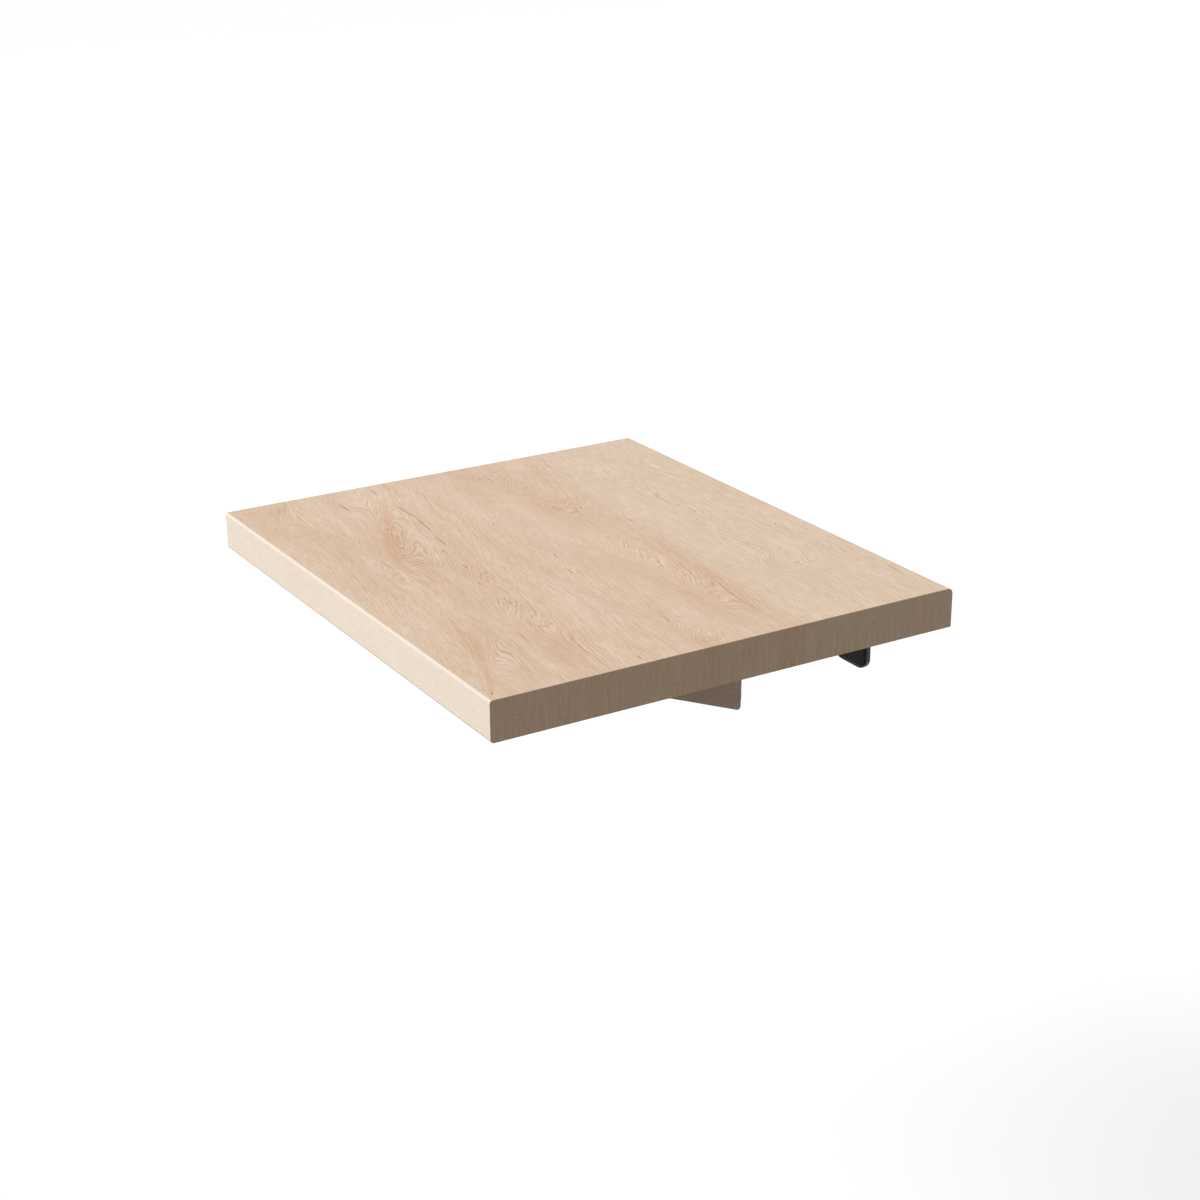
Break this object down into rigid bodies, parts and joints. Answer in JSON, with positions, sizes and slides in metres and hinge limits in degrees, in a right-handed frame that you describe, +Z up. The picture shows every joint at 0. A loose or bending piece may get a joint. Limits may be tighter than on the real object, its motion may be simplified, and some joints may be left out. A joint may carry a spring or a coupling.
{
  "type": "floating nightstand",
  "caption": "Bedside shelf of edge-glued maple that lies across a bed's side rail, held by a tapered gusset outside and bent steel hooks inside.",
  "frame": {"origin": "on the underside of the top, at the middle of its width and over the middle of the bed rail's thickness", "axes": "+Z up, +X along the bed rail, -Y out into the room, +Y towards the mattress"},
  "size_m": [0.39, 0.34, 0.1458],
  "materials": {
    "maple_bed_side": "clear satin lacquer on pale yellowish maple",
    "maple_inner_middle": "clear satin lacquer on pinkish maple",
    "maple_outer_middle": "clear satin lacquer on pale maple with reddish heartwood streaks",
    "maple_front": "clear satin lacquer on pale maple",
    "maple_gusset": "clear satin lacquer on maple",
    "beech_dowel": "raw fluted beech",
    "black_steel": "satin black powder coat",
    "zinc_steel": "bright zinc plating",
    "felt": "charcoal wool felt"
  },
  "bodies": {
    "root": {"top_stave_bed_side": "maple_bed_side", "top_stave_inner_middle": "maple_inner_middle", "top_stave_outer_middle": "maple_outer_middle", "top_stave_front": "maple_front", "gusset": "maple_gusset", "gusset_dowel_1": "beech_dowel", "gusset_dowel_2": "beech_dowel", "gusset_dowel_3": "beech_dowel", "gusset_dowel_4": "beech_dowel", "gusset_rail_pad": "felt", "hook_plate_right": "black_steel", "hook_pad_right": "felt", "hook_screw_right_1": "zinc_steel", "hook_screw_right_2": "zinc_steel", "hook_screw_right_3": "zinc_steel", "hook_plate_left": "black_steel", "hook_pad_left": "felt", "hook_screw_left_1": "zinc_steel", "hook_screw_left_2": "zinc_steel", "hook_screw_left_3": "zinc_steel"}
  },
  "joints": []
}
